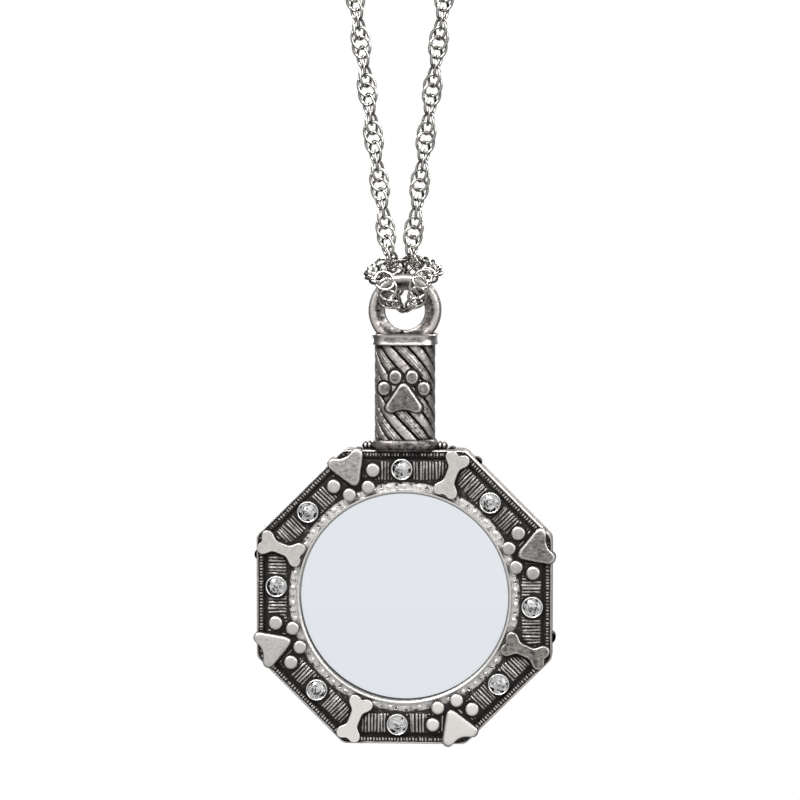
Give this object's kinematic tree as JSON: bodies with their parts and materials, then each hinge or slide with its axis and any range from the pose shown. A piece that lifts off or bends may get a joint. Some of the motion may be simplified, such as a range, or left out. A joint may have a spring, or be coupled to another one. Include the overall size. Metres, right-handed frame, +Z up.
{
  "type": "magnifier pendant on a chain",
  "caption": "Octagonal double-sided magnifier pendant with raised paws, bones and stones, a twisted handle and a bail ring, hitched on a rope chain.",
  "frame": {"origin": "middle of the chain at the top of its loop, where it hangs on a neck", "axes": "+Z up, the pendant's front faces -Y, +X to the right as seen from the front"},
  "size_m": [0.0804, 0.0104, 0.4035],
  "materials": {
    "pewter": "antiqued cast pewter, dark in the recesses and rubbed bright on the raised parts",
    "lens_glass": "clear polished glass",
    "stone_glass": "clear faceted glass with a foiled back",
    "chain_metal": "polished silver plate"
  },
  "bodies": {
    "necklace": {"chain": "chain_metal", "end_ring_left": "chain_metal", "end_ring_right": "chain_metal", "clasp": "chain_metal"},
    "pendant": {"casting": "pewter", "lens": "lens_glass", "stone_front_1": "stone_glass", "stone_front_2": "stone_glass", "stone_front_3": "stone_glass", "stone_front_4": "stone_glass", "stone_front_5": "stone_glass", "stone_front_6": "stone_glass", "stone_front_7": "stone_glass", "stone_front_8": "stone_glass", "stone_back_1": "stone_glass", "stone_back_2": "stone_glass", "stone_back_3": "stone_glass", "stone_back_4": "stone_glass", "stone_back_5": "stone_glass", "stone_back_6": "stone_glass", "stone_back_7": "stone_glass", "stone_back_8": "stone_glass"}
  },
  "joints": [
    {"name": "pendant_swing", "type": "hinge", "parent": "necklace", "child": "pendant", "pos_m": [0.0008, 0, -0.33116], "axis": [1, 0, 0], "range_deg": [-20, 20]}
  ]
}
